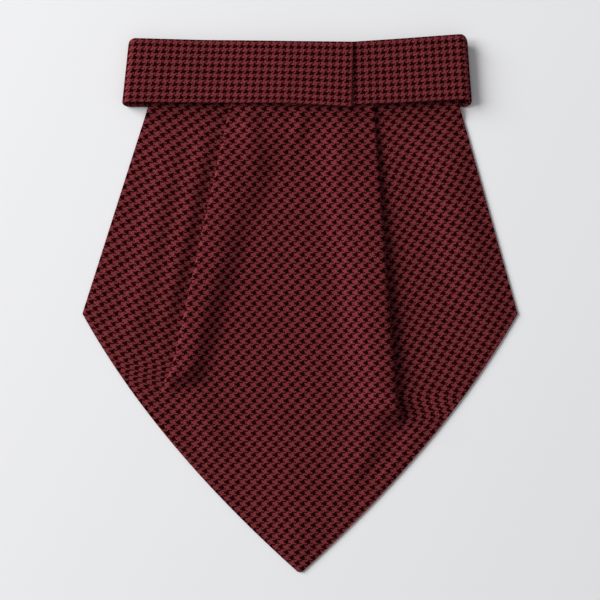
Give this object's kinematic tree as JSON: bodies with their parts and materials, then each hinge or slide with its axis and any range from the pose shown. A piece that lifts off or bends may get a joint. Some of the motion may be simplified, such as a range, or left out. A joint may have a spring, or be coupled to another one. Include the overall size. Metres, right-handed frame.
{
  "type": "ready-tied cravat",
  "caption": "Cravat laid flat: a pleated square-tipped bib of small checked cloth hanging from a closed neck band that folds into a flat loop.",
  "frame": {"origin": "on the surface it lies on, under the middle of its bounding box", "axes": "+X across the garment to the right, +Y up it from the bib's tip to the neck band, +Z up from the surface, towards the face side"},
  "size_m": [0.2492, 0.3072, 0.0094],
  "materials": {
    "checked_cloth": "fine twill in a small dark and wine red houndstooth check, dull, with a faint nap"
  },
  "bodies": {
    "root": {"bib": "checked_cloth", "neck_band": "checked_cloth"}
  },
  "joints": []
}
